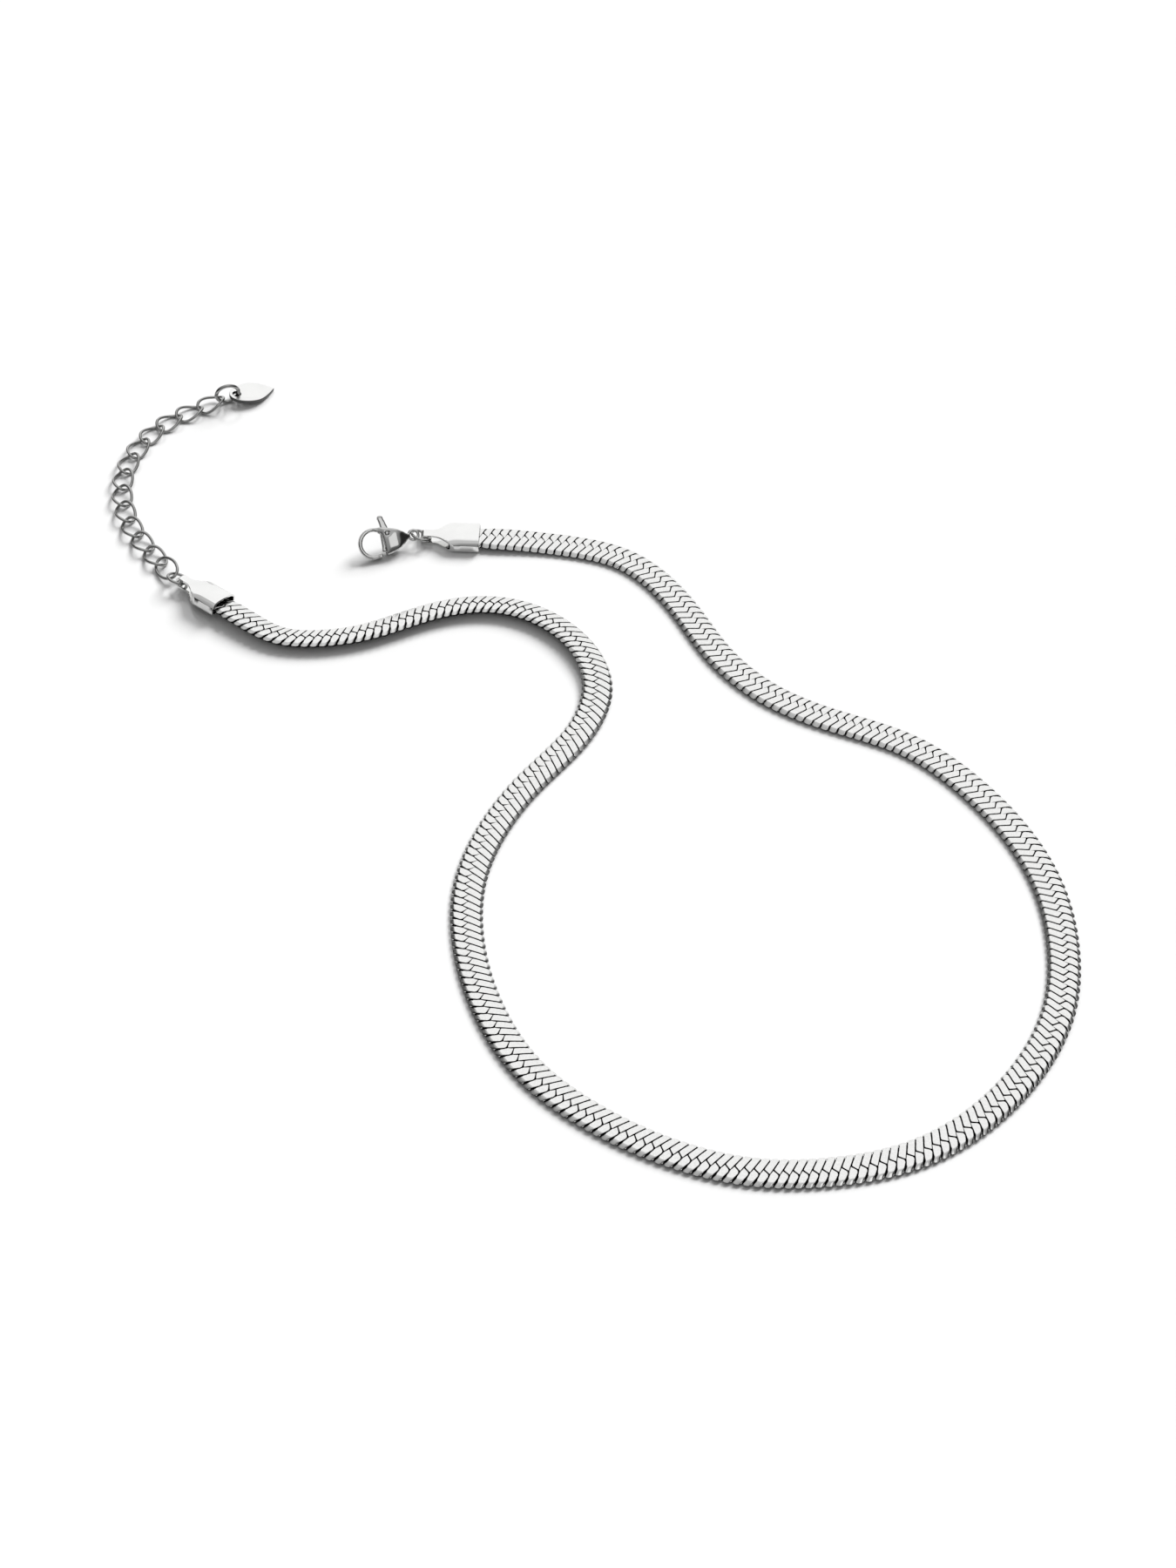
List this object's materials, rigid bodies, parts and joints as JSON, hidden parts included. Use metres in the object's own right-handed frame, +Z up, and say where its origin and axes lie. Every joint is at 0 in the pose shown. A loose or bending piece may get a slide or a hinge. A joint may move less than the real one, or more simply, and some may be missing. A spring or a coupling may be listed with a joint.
{
  "type": "snake chain necklace",
  "caption": "Flat snake chain necklace of interlocking herringbone plates, laid open in a winding curve, with folded end caps, a curb extender with a leaf tag, and a lobster clasp.",
  "frame": {"origin": "on the surface that the necklace lies on, under the middle of its outline", "axes": "+Z up from the surface; +Y from the wide loop towards the extender's tag; +X to the right as the necklace is seen in its view"},
  "size_m": [0.1449, 0.1588, 0.0053],
  "materials": {
    "plate_steel": "polished stamped steel plates",
    "cap_steel": "polished folded steel sheet",
    "link_steel": "polished drawn steel wire",
    "tag_steel": "satin stamped steel plate",
    "clasp_steel": "polished cast steel"
  },
  "bodies": {
    "necklace": {"snake_chain": "plate_steel", "extender_end_cap": "cap_steel", "clasp_end_cap": "cap_steel", "extender_ring": "link_steel", "extender_oval_link": "link_steel", "extender_link_01": "link_steel", "extender_link_02": "link_steel", "extender_link_03": "link_steel", "extender_link_04": "link_steel", "extender_link_05": "link_steel", "extender_link_06": "link_steel", "extender_link_07": "link_steel", "extender_link_08": "link_steel", "extender_link_09": "link_steel", "extender_link_10": "link_steel", "extender_link_11": "link_steel", "extender_link_12": "link_steel", "tag_ring": "link_steel", "leaf_tag": "tag_steel", "clasp_ring": "link_steel", "clasp_body": "clasp_steel", "lever_pin": "clasp_steel"},
    "lever": {"clasp_lever": "clasp_steel"}
  },
  "joints": [
    {"name": "lever_pivot", "type": "hinge", "parent": "necklace", "child": "lever", "pos_m": [-0.02801, 0.04199, 0.00293], "axis": [-0.2584, 0.6716, -0.6944], "range_deg": [0, 25], "stiffness_Nm_per_rad": 0.0001, "springref_deg": -11.46}
  ]
}
